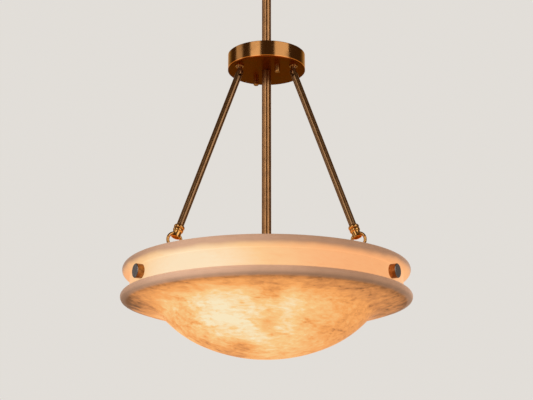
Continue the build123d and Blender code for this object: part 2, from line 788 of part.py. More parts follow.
with BuildPart() as bowl_knob:
    with BuildSketch(radial(bolt_z, washer_flat)):
        Circle(knob_radius)
    extrude(amount=knob_face - washer_flat)
    chamfer(bowl_knob.edges().group_by(Axis.X)[-1], knob_bevel)
    with BuildSketch(radial(bolt_z, washer_flat)):
        Circle(bolt_radius + thread_gap)
    extrude(amount=bolt_outer - washer_flat, mode=Mode.SUBTRACT)
save_turned(bowl_knob, "bowl_knob")

# ---------------------------------------------------------------- lamp cluster

finial_top = cluster_bottom - cluster_lid_thickness
with BuildPart() as cluster_nipple:
    with BuildSketch(Plane.XY.offset(cluster_top + thread_depth)):
        Circle(nipple_radius)
        Circle(nipple_bore, mode=Mode.SUBTRACT)
    extrude(amount=finial_top - finial_length / 2 - cluster_top - thread_depth)
save(cluster_nipple.part, "cluster_nipple")

with BuildPart() as cluster_body:
    with BuildSketch(Plane.XY.offset(cluster_bottom)):
        Circle(cluster_radius)
    extrude(amount=cluster_height)
    fillet(cluster_body.edges().group_by(Axis.Z)[-1], 2 * cluster_wall)
    with BuildSketch(Plane.XY.offset(cluster_bottom)):
        Circle(cluster_radius - cluster_wall)
    extrude(amount=cluster_height - 2 * cluster_wall, mode=Mode.SUBTRACT)
    with BuildSketch(Plane.XY.offset(cluster_bottom)):
        Circle(nipple_radius + thread_gap)
    extrude(amount=cluster_height, mode=Mode.SUBTRACT)
    for bearing in cluster_bearings.values():
        with BuildSketch(radial(cluster_z, nipple_radius, bearing)):
            Circle(nipple_radius + thread_gap)
        extrude(amount=cluster_radius, mode=Mode.SUBTRACT)
save(cluster_body.part, "cluster_body")

with BuildPart() as cluster_lid:
    with BuildSketch(Plane.XY.offset(cluster_bottom)):
        Circle(cluster_radius)
        Circle(nipple_radius + thread_gap, mode=Mode.SUBTRACT)
    extrude(amount=-cluster_lid_thickness)
    lid_edges = cluster_lid.edges().group_by(Axis.Z)[0].sort_by(SortBy.RADIUS)
    fillet(lid_edges[-1], cluster_lid_thickness / 2)
save(cluster_lid.part, "cluster_lid")

knob_centre_z = finial_top - finial_length + finial_knob_radius
groove_end = radians(finial_groove_end)
with BuildPart() as cluster_finial:
    with BuildSketch(Plane.XZ):
        with BuildLine():
            flange = Line((finial_radius, finial_top), (finial_radius, finial_top - finial_flange))
            shoulder_x = finial_knob_radius * cos(groove_end)
            shoulder_z = knob_centre_z + finial_knob_radius * sin(groove_end)
            ThreePointArc(
                flange @ 1,
                (finial_groove_radius, (finial_top - finial_flange + shoulder_z) / 2),
                (shoulder_x, shoulder_z),
            )
            knob_turn = -90 - finial_groove_end
            CenterArc((0, knob_centre_z), finial_knob_radius, finial_groove_end, knob_turn)
            Polyline((0, knob_centre_z - finial_knob_radius), (0, finial_top), flange @ 0)
        make_face()
    revolve(axis=Axis.Z)
    with BuildSketch(Plane.XY.offset(finial_top)):
        Circle(nipple_radius + thread_gap)
    extrude(amount=-finial_length / 2, mode=Mode.SUBTRACT)
save(cluster_finial.part, "cluster_finial")

arm_nipple_start = socket_start + socket_boss_length - arm_nipple_length
with BuildPart() as socket_nipples:
    for bearing in cluster_bearings.values():
        with BuildSketch(radial(cluster_z, arm_nipple_start, bearing)):
            Circle(nipple_radius)
            Circle(nipple_bore, mode=Mode.SUBTRACT)
        extrude(amount=arm_nipple_length)
save(socket_nipples.part, "socket_nipples")

socket_back = socket_start + socket_boss_length
lamp_start = socket_back + socket_floor + lamp_cap_end_gap
with BuildPart() as lamp_socket:
    with BuildSketch(radial(cluster_z, socket_start)):
        Circle(socket_boss_radius)
    extrude(amount=socket_boss_length)
    with BuildSketch(radial(cluster_z, socket_back)):
        Circle(socket_radius)
    extrude(amount=socket_length)
    fillet(lamp_socket.edges().group_by(Axis.X)[-1], socket_mouth_fillet)
    with BuildSketch(radial(cluster_z, socket_start)):
        Circle(nipple_radius + thread_gap)
    extrude(amount=socket_boss_length, mode=Mode.SUBTRACT)
    with BuildSketch(radial(cluster_z, socket_back + socket_floor)):
        Circle(lamp_cap_radius + lamp_cap_gap)
    extrude(amount=socket_length, mode=Mode.SUBTRACT)
save_turned(lamp_socket, "lamp_socket", cluster_bearings)

with BuildPart() as bulb_cap:
    with BuildSketch(radial(cluster_z, lamp_start)):
        Circle(lamp_cap_radius)
    extrude(amount=lamp_cap_length)
    chamfer(bulb_cap.edges().group_by(Axis.X)[0], lamp_cap_radius / 3)
save_turned(bulb_cap, "bulb_cap", cluster_bearings)

# The globe: a straight neck that swells into a ball
globe_plane = Plane(origin=(lamp_start, 0, cluster_z), x_dir=(1, 0, 0), z_dir=(0, -1, 0))
globe_centre = lamp_length - lamp_globe_radius
neck_end = lamp_cap_length + lamp_neck_length
swell_turn = radians(lamp_swell_angle)
with BuildPart() as bulb_globe:
    with BuildSketch(globe_plane):
        with BuildLine():
            swell = Vector(
                globe_centre + lamp_globe_radius * cos(swell_turn),
                lamp_globe_radius * sin(swell_turn),
            )
            neck = Line((lamp_cap_length, lamp_neck_radius), (neck_end, lamp_neck_radius))
            way = (sin(swell_turn), -cos(swell_turn))
            Spline(neck @ 1, swell, tangents=((1, 0), way))
            CenterArc((globe_centre, 0), lamp_globe_radius, 0, lamp_swell_angle)
            Polyline((lamp_length, 0), (lamp_cap_length, 0), neck @ 0)
        make_face()
    revolve(axis=Axis((0, 0, cluster_z), (1, 0, 0)))
save_turned(bulb_globe, "bulb_globe", cluster_bearings)

print("rim plane", round(rim_z, 2), "pivot", pivot, "ring bottom", ring_bottom)
print("rod length", round(rod_length, 2), "lean", round(degrees(atan2(rod_way.X, -rod_way.Y)), 2))
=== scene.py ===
"""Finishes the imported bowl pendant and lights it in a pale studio.

The stone is veined alabaster lit from inside, the metal is brushed and aged brass.
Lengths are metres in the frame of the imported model: the origin is where the pendant
meets the ceiling, +Z is up and the front is -Y. A noise's scale is in cells a metre.
"""

from functools import cached_property
from math import cos, pi, radians, sin

import bpy
from mathutils import Euler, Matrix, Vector


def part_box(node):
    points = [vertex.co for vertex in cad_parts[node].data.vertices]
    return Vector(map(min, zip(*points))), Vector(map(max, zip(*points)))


bl_info = {
    "name": "Alabaster Bowl Pendant",
    "version": (1, 0, 0),
    "blender": (4, 5, 0),
    "location": "3D View > Sidebar > Pendant",
    "description": "Finishes a bowl pendant of alabaster and brass and lights it in a pale studio",
    "category": "Object",
}

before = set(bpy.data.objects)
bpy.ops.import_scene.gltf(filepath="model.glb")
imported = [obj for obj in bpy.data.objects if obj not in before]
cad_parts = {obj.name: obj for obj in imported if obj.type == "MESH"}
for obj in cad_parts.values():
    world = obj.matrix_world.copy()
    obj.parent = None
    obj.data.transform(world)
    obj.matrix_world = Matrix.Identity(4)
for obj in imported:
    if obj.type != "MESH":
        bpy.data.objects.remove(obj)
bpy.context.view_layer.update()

SIDES = ("rear", "left", "right")
LAMPS = ("front", "right", "rear")


# ------------------------------------------------------------------ settings


def colour(name, description, default):
    """A colour setting, written in linear red, green and blue."""
    return bpy.props.FloatVectorProperty(
        name=name, description=description, default=default, subtype="COLOR", size=3, min=0.0, max=1.0
    )


def length(name, description, default):
    """A length setting in metres."""
    return bpy.props.FloatProperty(
        name=name, description=description, default=default, unit="LENGTH", subtype="DISTANCE"
    )


def angle(name, description, degrees):
    """An angle setting, kept in radians."""
    return bpy.props.FloatProperty(
        name=name, description=description, default=radians(degrees), subtype="ANGLE"
    )


def share(name, description, default, top=1.0):
    """A plain number from zero up, such as a roughness or a strength."""
    return bpy.props.FloatProperty(
        name=name, description=description, default=default, min=0.0, max=top, subtype="FACTOR"
    )


class PendantStone(bpy.types.PropertyGroup):
    """What the alabaster looks like, lit and unlit."""

    lip: colour("Lips", "The thick lips beside a lamp", (0.77, 0.465, 0.31))
    lip_shade: colour("Lips in shade", "The thick lips between the lamps", (0.385, 0.205, 0.118))
    shaded: colour("Shaded stone", "Lit stone at its darkest, under the brim", (0.20, 0.075, 0.022))
    amber: colour("Amber stone", "Lit stone away from the lamps", (0.66, 0.255, 0.074))
    honey: colour("Honey stone", "Lit stone between the lamps", (0.96, 0.40, 0.112))
    cream: colour("Cream stone", "Lit stone near a lamp", (1.0, 0.62, 0.255))
    bright: colour("Brightest stone", "Lit stone right beside a lamp", (1.0, 0.84, 0.55))
    neck: colour("Neck", "Pink cast over the lit neck", (1.0, 0.62, 0.45))
    lit_share: share("Lit share", "Part of the stone's colour that comes from the lamps", 0.90)
    lip_lit_share: share("Lip lit share", "Part of the lips' colour that comes from the lamps", 0.42)
    glow_turn: angle("Glow turn", "How far the dome's glow is turned about the stem from the lamps", 5.7)
    vein_contrast: share("Vein contrast", "How much the clouds and veins change the glow", 1.0, top=2.0)
    roughness: share("Roughness", "Roughness of the polished stone", 0.42)


class PendantMetal(bpy.types.PropertyGroup):
    """What the brass looks like."""

    brass: colour("Brass", "Brushed brass of the stems and hub", (0.43, 0.200, 0.066))
    aged: colour("Aged brass", "Brass that has darkened in places", (0.17, 0.07, 0.02))
    polished: colour("Polished brass", "Turned fittings and rings at the rod ends", (0.66, 0.33, 0.10))
    # A darker copy of the stems' brass, for painted shade on the slanting rods
    rod: colour("Rod brass", "Brushed brass of the slanting rods", (0.31, 0.155, 0.056))
    glowing: colour("Underlit brass", "The hub's underside, warmed by the bowl", (0.22, 0.036, 0.002))
    warm_edge: colour("Warm edge", "The hub's lower edge, lit from the bowl", (0.75, 0.20, 0.022))
    # The knobs' faces get a grey that is a painted reflection of the room
    knob_face_reflection: colour("Knob face", "Flat outer face of the knobs", (0.36, 0.33, 0.33))
    glance: colour("Glance", "Tint of the metal where it is seen edge on", (1.0, 0.70, 0.42))
    brass_roughness: share("Brass roughness", "Roughness of the brushed brass", 0.30)
    lacquer: share("Lacquer", "Clear lacquer over the stems, stubs, rods, canopy and cluster", 0.5)
    brushing: length("Brushing", "Width of one brushed line", 0.0006)
    turning: length("Turning", "Width of one line on coarser turned or plated pieces", 0.0009)


class PendantHardware(bpy.types.PropertyGroup):
    """What the plated, rubber and plastic pieces look like, most of them out of sight."""

    zinc: colour("Zinc", "Plated steel in the canopy, hub and brackets", (0.52, 0.52, 0.50))
    dull_zinc: colour("Dull zinc", "Worn plating in the canopy and hub", (0.34, 0.34, 0.33))
    dark_zinc: colour("Dark zinc", "Worn plating on the knobs' bolts and nuts", (0.30, 0.30, 0.29))
    green: colour("Green", "Dyed ground screw", (0.03, 0.20, 0.06))
    dark_green: colour("Dark green", "Worn dye on the ground screw", (0.02, 0.10, 0.04))
    rubber: colour("Rubber", "Pads under the brackets", (0.022, 0.022, 0.024))
    nylon: colour("Nylon", "Liner of the swivel", (0.62, 0.60, 0.54))
    plastic: colour("Plastic", "Terminal block in the hub", (0.72, 0.68, 0.58))


class PendantLamps(bpy.types.PropertyGroup):
    """What the bulbs and their holders look like."""

    glow: colour("Glow", "Light of the frosted globes", (1.0, 0.80, 0.50))
    glass: colour("Glass", "Frosted glass of the globes by day", (0.45, 0.40, 0.33))
    porcelain: colour("Porcelain", "Glazed lamp holders", (0.80, 0.77, 0.70))
    cap: colour("Cap", "Screw caps of the bulbs", (0.70, 0.70, 0.69))
    dull_cap: colour("Dull cap", "Worn places on the screw caps", (0.45, 0.45, 0.44))
    glow_strength: share("Glow strength", "How brightly a globe shines", 1.3, top=10.0)


class PendantStudio(bpy.types.PropertyGroup):
    """The camera, the lights, the floor and the background."""

    pale: colour("Background", "Pale background", (0.76, 0.73, 0.69))
    dim_room: colour("Dim room", "Mirrored in the metal beside and behind the camera", (0.080, 0.050, 0.026))
    ceiling_height: length("Ceiling height", "Height of the ceiling above the floor", 2.44)
    floor_radius: length("Floor radius", "How far the floor reaches", 40.0)
    camera_distance: length("Camera distance", "From the stem to the camera", 2.1231)
    camera_drop: length("Camera drop", "From the ceiling down to the camera", 1.057)
    lens: bpy.props.FloatProperty(
        name="Lens", description="Focal length on a 36 mm sensor", default=83.56, subtype="DISTANCE_CAMERA"
    )
    camera_pitch: angle("Camera pitch", "How far the camera looks up", 15.766)
    ambient: share("Ambient", "Even light from all round", 0.42, top=2.0)


class PendantSettings(bpy.types.PropertyGroup):
    """All the settings of the pendant."""

    stone: bpy.props.PointerProperty(type=PendantStone)
    metal: bpy.props.PointerProperty(type=PendantMetal)
    hardware: bpy.props.PointerProperty(type=PendantHardware)
    lamps: bpy.props.PointerProperty(type=PendantLamps)
    studio: bpy.props.PointerProperty(type=PendantStudio)


def settings():
    """The pendant's settings on the scene."""
    return bpy.context.scene.pendant


# ------------------------------------------------------------------ node trees


class Nodes:
    """A node tree, with short ways to fill it."""

    def __init__(self, owner):
        owner.use_nodes = True
        self.tree = owner.node_tree

    def add(self, kind, inputs=None, **options):
        """A node of that kind, with its options and its inputs set or linked."""
        node = self.tree.nodes.new("ShaderNode" + kind)
        for option, value in options.items():
            setattr(node, option, value)
        for socket, value in (inputs or {}).items():
            self.feed(node.inputs[socket], value)
        return node

    def feed(self, socket, value):
        """Links a socket to another, or gives it a value. A colour gets an alpha of 1."""
        if isinstance(value, bpy.types.NodeSocket):
            self.tree.links.new(value, socket)
        elif isinstance(value, (int, float)) or len(value) == len(socket.default_value):
            socket.default_value = value
        else:
            socket.default_value = (*value, 1.0)

    def math(self, operation, first, second=0.0):
        """The result of one step of arithmetic on one or two values."""
        node = self.add("Math", {0: first, 1: second}, operation=operation)
        return node.outputs[0]

    def total(self, *terms):
        """The sum of several terms."""
        result = terms[0]
        for term in terms[1:]:
            result = self.math("ADD", result, term)
        return result

    def times(self, *terms):
        """The product of several terms."""
        result = terms[0]
        for term in terms[1:]:
            result = self.math("MULTIPLY", result, term)
        return result

    def weighed(self, values, weights, scale=1.0):
        """The sum of the named values, each times its weight."""
        return self.total(*(self.times(values[name], weight * scale) for name, weight in weights.items()))

    def bell(self, ratio):
        """1 where the ratio is 0, falling smoothly to 0.37 at 1 and to almost nothing at 2."""
        return self.math("EXPONENT", self.times(ratio, ratio, -1.0))

    def grade(self, value, span, low=0.0, high=1.0, easing="SMOOTHSTEP"):
        """Eases from low to high as the value goes from the span's start to its end."""
        start, end = span
        node = self.add(
            "MapRange",
            {"Value": value, "From Min": start, "From Max": end, "To Min": low, "To Max": high},
            interpolation_type=easing,
        )
        return node.outputs["Result"]

    def noise(self, place, scale, detail, roughness=0.55, distortion=0.0):
        """Cloudy noise from 0 to 1."""
        node = self.add(
            "TexNoise",
            {
                "Vector": place,
                "Scale": scale,
                "Detail": detail,
                "Roughness": roughness,
                "Distortion": distortion,
            },
        )
        return node.outputs["Fac"]

    def around(self, value, spread=0.5):
        """Turns a value from 0 to 1 into one from -spread to spread."""
        return self.times(self.math("SUBTRACT", value, 0.5), 2.0 * spread)

    def mix(self, factor, first, second):
        """Mixes two colours, which are the node's sockets 6 and 7 and its output 2."""
        sockets = {0: factor, 6: first, 7: second}
        return self.add("Mix", sockets, data_type="RGBA").outputs[2]

    def ramp(self, value, stops):
        """A colour ramp through (place, colour) stops."""
        node = self.add("ValToRGB", {"Fac": value})
        ramp = node.color_ramp
        while len(ramp.elements) < len(stops):
            ramp.elements.new(0.5)
        for element, (place, tint) in zip(ramp.elements, stops):
            element.position = place
            element.color = (*tint, 1.0)
        return node.outputs["Color"]

    def scaled(self, place, scale, turn=(0.0, 0.0, 0.0)):
        """Coordinates turned, then stretched on each axis."""
        turned = self.add("Mapping", {"Vector": place, "Rotation": turn}).outputs[0]
        return self.add("VectorMath", {0: turned, 1: scale}, operation="MULTIPLY").outputs[0]

    def dimmed(self, tint, level):
        """A colour times a number."""
        return self.add("VectorMath", {0: tint, "Scale": level}, operation="SCALE").outputs[0]

    def distance(self, first, second=(0.0, 0.0, 0.0)):
        """How far two points lie apart, or how far one lies from the origin."""
        node = self.add("VectorMath", {0: first, 1: second}, operation="DISTANCE")
        return node.outputs["Value"]

    def round_stem(self, place):
        """Reach from the stem's axis, bearing about it, and height."""
        axes = self.add("SeparateXYZ", {"Vector": place}).outputs
        flat = self.add("CombineXYZ", {"X": axes["X"], "Y": axes["Y"]}).outputs[0]
        bearing = self.math("ARCTAN2", axes["Y"], axes["X"])
        return self.distance(flat), bearing, axes["Z"]


class Finish(Nodes):
    """A material's node tree and its shader."""

    def __init__(self, name):
        self.material = bpy.data.materials.new(name)
        super().__init__(self.material)
        self.shader = self.tree.nodes["Principled BSDF"]

    @cached_property
    def place(self):
        """The place of each point of a piece in the pendant's own frame."""
        return self.add("TexCoord").outputs["Object"]

    def set(self, **values):
        """Sets the shader's own sockets by name, with _ for a space."""
        for name, value in values.items():
            self.feed(self.shader.inputs[name.replace("_", " ")], value)

    def bump(self, height, strength, depth):
        """Relief from a height, fed to the shader's normal."""
        node = self.add("Bump", {"Height": height, "Strength": strength, "Distance": depth})
        self.set(Normal=node.outputs[0])


def dress(names, material):
    """Gives nodes of the frame one material."""
    for name in names:
        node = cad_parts[name]
        node.data.materials.clear()
        node.data.materials.append(material)


def outward(node):
    """Middle of a node's box, and the level direction to it from the stem."""
    low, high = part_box(node)
    middle = (low + high) / 2
    return middle, Vector((middle.x, middle.y, 0.0)).normalized()


def farthest(node, way):
    """How far a node's mesh reaches in a direction from the origin."""
    return max(vertex.co.dot(way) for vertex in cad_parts[node].data.vertices)


# ------------------------------------------------------------------ alabaster

# The round sections of the bowl's rim and lower lip, and how far the lip's lies below the rim's
RIM_SECTION_RADIUS = 0.0101
LIP_SECTION_RADIUS = 0.0071
LIP_DROP = 0.04765

bowl_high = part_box("alabaster_bowl")[1]
rim_z = bowl_high.z - RIM_SECTION_RADIUS
lip_reach = bowl_high.x - LIP_SECTION_RADIUS

# The stone lies in tilted layers, flatter than they are wide, and its lines run along them
LAYER_TILT = (radians(5), radians(-4), 0.0)
LAYER_STRETCH = (1.0, 1.0, 2.0)
LINE_STRETCH = (0.55, 1.0, 3.2)

# Noises in the stone: scale, detail, roughness and distortion
LAYER_NOISES = {
    "clouds": (9.0, 3.0, 0.50, 0.50),
    "patches": (19.0, 4.0, 0.60, 0.60),
    "mottling": (52.0, 5.0, 0.62, 0.50),
}
GRAIN_NOISE = (95.0, 4.0, 0.60, 0.30)
LINE_NOISE = (48.0, 5.0, 0.60, 0.45)

# Where a line starts and is full, by its noise, and where it is a brown streak, by the patches
LINE_EDGE = (0.52, 0.78)
STREAK_EDGE = (0.14, -0.10)

# How much each pattern changes the glow. The streaks only darken it
VEINS = {"clouds": 0.26, "patches": 0.34, "mottling": 0.40, "grain": 0.50, "streaks": -0.30}
VEINS_IN_NECK = 0.20
# In the dome the veins are stronger where it glows more, and this is added to its glow for them
VEINS_IN_DOME = 0.72
VEINS_WITHOUT_GLOW = 0.75

# How much each pattern changes the lips' shade, the height of the ring's dull top and the relief
LIP_SHADING = {"patches": 0.20, "mottling": 0.16}
RING_TOP_WAVES = {"clouds": 0.010, "patches": 0.006}
RELIEF = {"mottling": 1.0, "lines": -0.4}
RELIEF_STRENGTH = 0.20
RELIEF_DEPTH = 0.0002
# How much the clouds change the lips' glow, the patches the lip's edge and the mottling the gloss
LIP_CLOUDS = 0.35
LIP_WAVES = 0.0018
ROUGHNESS_MOTTLING = 0.16

# Where changes in the stone start and end, as a reach from the stem's axis
RING_OUTSIDE = (0.228, 0.240)
BRIM_FADE = (0.254, 0.180)
LIP_SHADOW = (0.245, 0.230)
# The same, as a height above the middle of the rim's section
RING_TOP = (-0.0100, 0.0005)
DOME_START = (-0.046, -0.052)
LIP_LOWER_HALF = (-0.0500, -0.0545)
LIP_UNDERSIDE = (-0.0570, -0.0530)
# The same, as a distance from the middle of the lip's section
LIP_EDGE = (0.0110, 0.0075)

# What is left of the dome's light at the brim and in the lip's shadow
BRIM_LIGHT = 0.50
SHADOW_LIGHT = 0.66
# How much of the lip's dull stone is left on its underside
LIP_UNDERSIDE_SHARE = 0.55
# The lips' shade is 1; painted shade takes it to this in the lip's lower half, towards the crease where it
# meets the dome, and changes it by this much on the ring's top, which lies farther from the lamps
LIP_LOWER_SHADE = 0.80
RING_TOP_SHADE = -0.08

# How strongly each lamp shows through a part of the stone, and how far its glow spreads
DOME_GLOW = {"front": (0.62, 0.160), "right": (0.06, 0.110), "rear": (0.45, 0.130)}
NECK_GLOW = {"front": (1.40, 0.130), "right": (0.50, 0.130), "rear": (1.30, 0.130)}
LIP_GLOW = {"front": (4.20, 0.108), "right": (2.60, 0.105), "rear": (4.00, 0.105)}
# The glow away from every lamp, and how much of the neck's pink cast lies over it
DOME_BASE_GLOW = 0.345
NECK_BASE_GLOW = 0.38
NECK_CAST = 0.24

# The glow at which the lit stone has each of its colours
GLOW_STOPS = {"shaded": 0.06, "amber": 0.29, "honey": 0.50, "cream": 0.76, "bright": 0.98}

# Pale patches and brown smudge marks in the stone, and painted shade at the dome's far left and right ends
# (the deep mark at x -0.23 and the faint one at x 0.20): x, y, radius and strength
PALE, FAINT, BROWN, DEEP = 0.08, -0.12, -0.22, -0.34
SMUDGES_AND_SHADE = (
    (-0.08, -0.15, 0.04, PALE),
    (0.04, -0.17, 0.02, PALE),
    (0.00, -0.22, 0.03, FAINT),
    (0.01, -0.19, 0.02, BROWN),
    (0.07, -0.20, 0.02, FAINT),
    (0.00, -0.14, 0.02, BROWN),
    (-0.13, -0.10, 0.02, FAINT),
    (-0.04, -0.06, 0.02, DEEP),
    (-0.06, 0.00, 0.05, DEEP),
    (-0.12, -0.04, 0.04, BROWN),
    (-0.23, -0.03, 0.05, DEEP),
    (0.20, 0.00, 0.06, FAINT),
    (0.11, 0.09, 0.03, BROWN),
    (-0.06, 0.15, 0.04, FAINT),
)
MARK_RAGGEDNESS = 0.8


def lamp_ball(lamp):
    """Centre of a globe's ball, found from its tip and its thickness."""
    globe = "bulb_globe_" + lamp
    low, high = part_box(globe)
    middle, way = outward(globe)
    radius = (high.z - low.z) / 2
    return way * (farthest(globe, way) - radius) + Vector((0.0, 0.0, middle.z))


def lamp_glow(finish, lamps, turn=0.0):
    """Light that reaches a point from the three globes, fading with distance."""
    glows = []
    for lamp, (power, spread) in lamps.items():
        ball = lamp_ball(lamp)
        ball.rotate(Euler((0.0, 0.0, turn)))
        ratio = finish.math("DIVIDE", finish.distance(finish.place, tuple(ball)), spread)
        glows.append(finish.times(finish.bell(ratio), power))
    return finish.total(*glows)


def smudges_and_shade(finish, mottling, contrast):
    """Soft smudge marks, pale patches and painted shade at the dome's far left and right ends, at their
    places in the stone, with mottled edges.
    """
    flat = finish.scaled(finish.place, (1.0, 1.0, 0.0))
    ragged = finish.times(mottling, MARK_RAGGEDNESS)
    marks = []
    for x, y, radius, strength in SMUDGES_AND_SHADE:
        ratio = finish.times(finish.distance(flat, (x, y, 0.0)), 1.0 / radius)
        marks.append(finish.times(finish.bell(finish.total(ratio, ragged)), strength * contrast))
    return finish.total(*marks)


def stone_pattern(finish):
    """Noises about 0 in the stone's layers, lines along them, and streaks where the patches are low."""
    layers = finish.scaled(finish.place, LAYER_STRETCH, LAYER_TILT)
    pattern = {name: finish.around(finish.noise(layers, *noise)) for name, noise in LAYER_NOISES.items()}
    drawn_out = finish.scaled(finish.place, LINE_STRETCH, LAYER_TILT)
    pattern["grain"] = finish.around(finish.noise(drawn_out, *GRAIN_NOISE))
    pattern["lines"] = finish.grade(finish.noise(drawn_out, *LINE_NOISE), LINE_EDGE)
    pattern["streaks"] = finish.times(pattern["lines"], finish.grade(pattern["patches"], STREAK_EDGE))
    return pattern


def dull_stone(finish, reach, height, ring_top, patches):
    """1 where the wall is too thick for the light: the lower lip and the upper ring's outside top."""
    section = finish.add("CombineXYZ", {"X": reach, "Y": height}).outputs[0]
    from_lip = finish.total(
        finish.distance(section, (lip_reach, -LIP_DROP, 0.0)), finish.times(patches, LIP_WAVES)
    )
    lip = finish.times(
        finish.grade(from_lip, LIP_EDGE), finish.grade(height, LIP_UNDERSIDE, LIP_UNDERSIDE_SHARE, 1.0)
    )
    return finish.math("MAXIMUM", lip, finish.times(ring_top, finish.grade(reach, RING_OUTSIDE)))


def lit_stone(finish, reach, height, pattern, stone):
    """Colour of the stone by the light inside it, which fades to the brim and fills the neck."""
    # The veins take in the painted shade at the dome's far left and right ends
    veins = finish.total(
        finish.weighed(pattern, VEINS, stone.vein_contrast),
        smudges_and_shade(finish, pattern["mottling"], stone.vein_contrast),
    )
    dome = finish.times(
        finish.total(lamp_glow(finish, DOME_GLOW, stone.glow_turn), DOME_BASE_GLOW),
        finish.grade(reach, BRIM_FADE, BRIM_LIGHT, 1.0, "LINEAR"),
        finish.grade(reach, LIP_SHADOW, SHADOW_LIGHT, 1.0),
    )
    dome_veins = finish.times(veins, finish.total(dome, VEINS_WITHOUT_GLOW), VEINS_IN_DOME)
    neck = finish.total(lamp_glow(finish, NECK_GLOW), NECK_BASE_GLOW)
    in_dome = finish.grade(height, DOME_START)
    above = finish.math("SUBTRACT", 1.0, in_dome)
    glow = finish.total(
        finish.times(in_dome, finish.total(dome, dome_veins)),
        finish.times(above, finish.total(neck, finish.times(veins, VEINS_IN_NECK))),
    )
    inner_light = finish.ramp(glow, [(place, getattr(stone, tint)) for tint, place in GLOW_STOPS.items()])
    return finish.mix(finish.times(above, NECK_CAST), inner_light, tuple(stone.neck))


def lip_stone(finish, height, ring_top, pattern, stone):
    """Colour of the thick lips, brighter beside a lamp, with painted shade on the ring's top and on the
    lip's lower half.
    """
    beside_lamp = finish.total(lamp_glow(finish, LIP_GLOW), finish.times(pattern["clouds"], LIP_CLOUDS))
    tint = finish.mix(beside_lamp, tuple(stone.lip_shade), tuple(stone.lip))
    # The patches and mottling vary the lips' tone; the ring's top and the lip's lower half get painted shade
    shade = finish.total(
        finish.weighed(pattern, LIP_SHADING),
        finish.times(ring_top, RING_TOP_SHADE),
        finish.grade(height, LIP_LOWER_HALF, 1.0, LIP_LOWER_SHADE),
    )
    return finish.dimmed(tint, shade)


def alabaster(stone):
    """Veined stone that glows where its wall is thin and stays dull at its thick lips."""
    finish = Finish("alabaster")
    reach, _, z = finish.round_stem(finish.place)
    height = finish.math("SUBTRACT", z, rim_z)
    pattern = stone_pattern(finish)
    ring_top = finish.grade(finish.total(height, finish.weighed(pattern, RING_TOP_WAVES)), RING_TOP)
    dull = dull_stone(finish, reach, height, ring_top, pattern["patches"])
    lit = lit_stone(finish, reach, height, pattern, stone)
    lips = lip_stone(finish, height, ring_top, pattern, stone)
    finish.set(
        Base_Color=finish.mix(dull, finish.dimmed(lit, 1.0 - stone.lit_share), lips),
        Emission_Color=finish.mix(
            dull, finish.dimmed(lit, stone.lit_share), finish.dimmed(lips, stone.lip_lit_share)
        ),
        Emission_Strength=1.0,
        Roughness=finish.total(finish.times(pattern["mottling"], ROUGHNESS_MOTTLING), stone.roughness),
        Specular_IOR_Level=0.15,
    )
    finish.bump(finish.weighed(pattern, RELIEF), RELIEF_STRENGTH, RELIEF_DEPTH)
    # The stone isn't sampled as a lamp: its glow reaches other pieces only where their rays meet it
    finish.material.cycles.emission_sampling = "NONE"
    return finish.material


class PENDANT_OT_bowl(bpy.types.Operator):
    """Finishes the alabaster bowl"""

    bl_idname = "pendant.bowl"
    bl_label = "Alabaster Bowl"

    def execute(self, context):
        dress(["alabaster_bowl"], alabaster(settings().stone))
        return {"FINISHED"}


# ------------------------------------------------------------------ brass and steel

UP = (0.0, 0.0, 1.0)
ALONG_X = (1.0, 0.0, 0.0)

# Brushed lines: cells of noise in a metre along them, or in a radian where they are turned, and
# how much the lines change the colour's age and the roughness
LINES_ALONG = 9.0
LINES_ROUND = 2.0
LINE_DETAIL = 2.0
LINE_TINT = 0.06
LINE_ROUGHNESS = 0.04

# The bloom is a cloudy patina: its noise, where its colour and its roughness start and are full,
# and how much it roughens
BLOOM_NOISE = (38.0, 4.0, 0.55, 0.4)
BLOOM_AGE = (0.40, 0.80)
BLOOM_ROUGH = (0.30, 0.80)
BLOOM_ROUGHNESS = 0.06

# The hub's warm edge: heights above it where the glow starts and is full, and its strength
EDGE_TOP = 0.0022
EDGE_FULL = 0.0004
EDGE_GLOW = 0.55

# How much of a rod's end is taken to find its direction
ROD_END = 0.02

# A knob's bloom and roughness, and how deep under its face the face's finish starts and is full
KNOB_NOISE = (160.0, 4.0, 0.6)
KNOB_AGE = (0.30, 0.75)
KNOB_ROUGHNESS = 0.26
KNOB_BLOOM_ROUGHNESS = 0.06
FACE_START = 0.0006
FACE_FULL = 0.0002
FACE_ROUGHNESS = 0.18
# The circles turned on a knob's face: their noise, how far that moves them, and radians a metre
CIRCLE_NOISE = (90.0, 3.0)
CIRCLE_WOBBLE = 0.0006
CIRCLES = 7000.0
CIRCLE_RELIEF = 0.12

# Moulded pieces: the mottling's scale, where it shows and how dark it is, and the fine grain
MOTTLING_SCALE = 60.0
MOTTLING_EDGE = (0.3, 0.8)
MOTTLING_SHADE = 0.82
MOULDED_DETAIL = 3.0
GRAIN_ROUGHNESS = 0.06
GRAIN_RELIEF = 0.15
FINE_DEPTH = 0.00005


def brushed_lines(finish, way, width):
    """Fine lines brushed along a direction, or turned round the stem's axis if there is none."""
    fine = 1.0 / width
    if way is None:
        reach, bearing, z = finish.round_stem(finish.place)
        combed = finish.add(
            "CombineXYZ",
            {
                "X": finish.times(reach, fine),
                "Y": finish.times(z, fine),
                "Z": finish.times(bearing, LINES_ROUND),
            },
        ).outputs[0]
    else:
        turn = Vector(way).rotation_difference(Vector(UP)).to_euler()
        combed = finish.scaled(finish.place, (fine, fine, LINES_ALONG), tuple(turn))
    return finish.noise(combed, 1.0, LINE_DETAIL)


